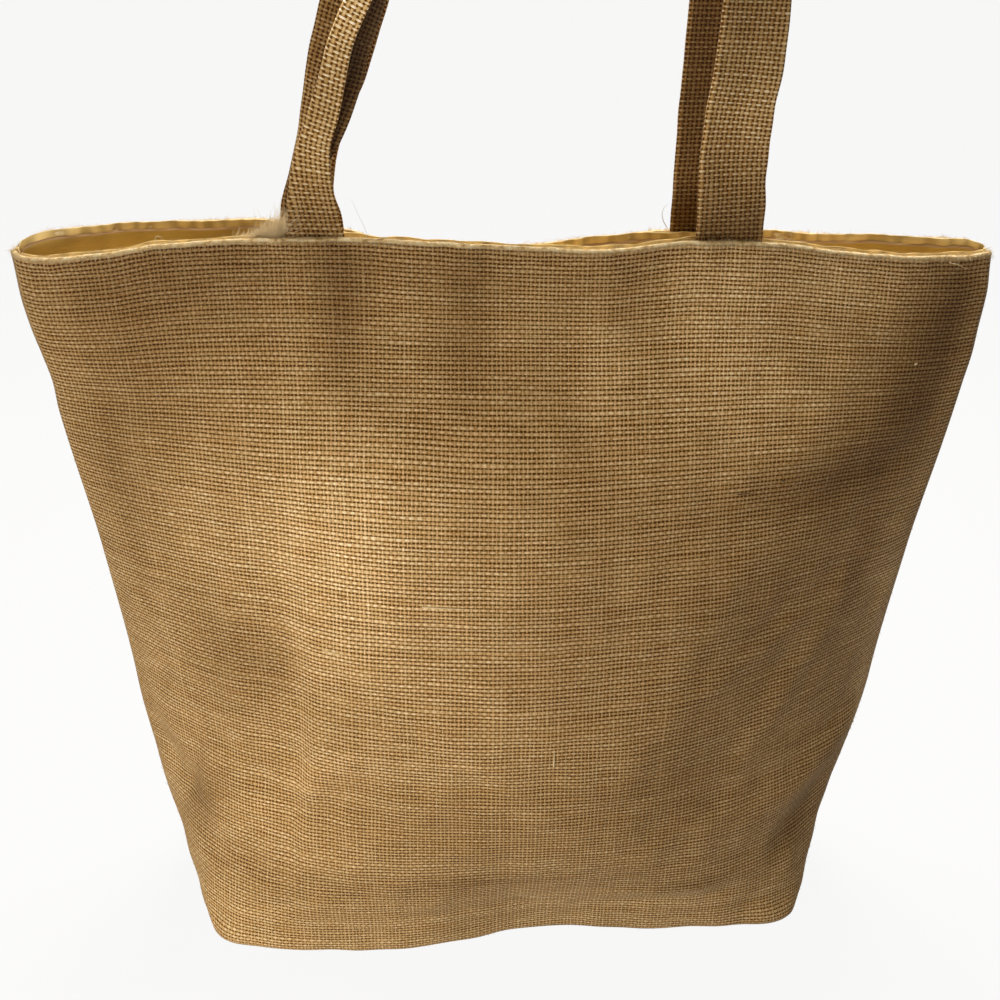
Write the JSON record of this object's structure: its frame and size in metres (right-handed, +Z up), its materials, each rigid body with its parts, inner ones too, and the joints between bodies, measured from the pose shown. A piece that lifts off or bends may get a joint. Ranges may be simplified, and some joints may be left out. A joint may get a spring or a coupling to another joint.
{
  "type": "burlap tote bag",
  "caption": "Open-topped jute burlap tote with a boxed flat base, cotton lining and flat strap handles standing up from front and back rims.",
  "frame": {"origin": "middle of the base's underside, on the surface the bag stands on", "axes": "+X to the right as the front is seen, +Y from the front panel to the back panel, +Z up"},
  "size_m": [0.4534, 0.1748, 0.6135],
  "materials": {
    "jute_burlap": "coarse open plain weave, matt and a little hairy",
    "golden_cotton": "fine plain cotton, softly puckered",
    "jute_strap": "folded jute burlap, matt"
  },
  "bodies": {
    "root": {"burlap_body": "jute_burlap", "lining": "golden_cotton", "front_handle": "jute_strap", "back_handle": "jute_strap"}
  },
  "joints": []
}
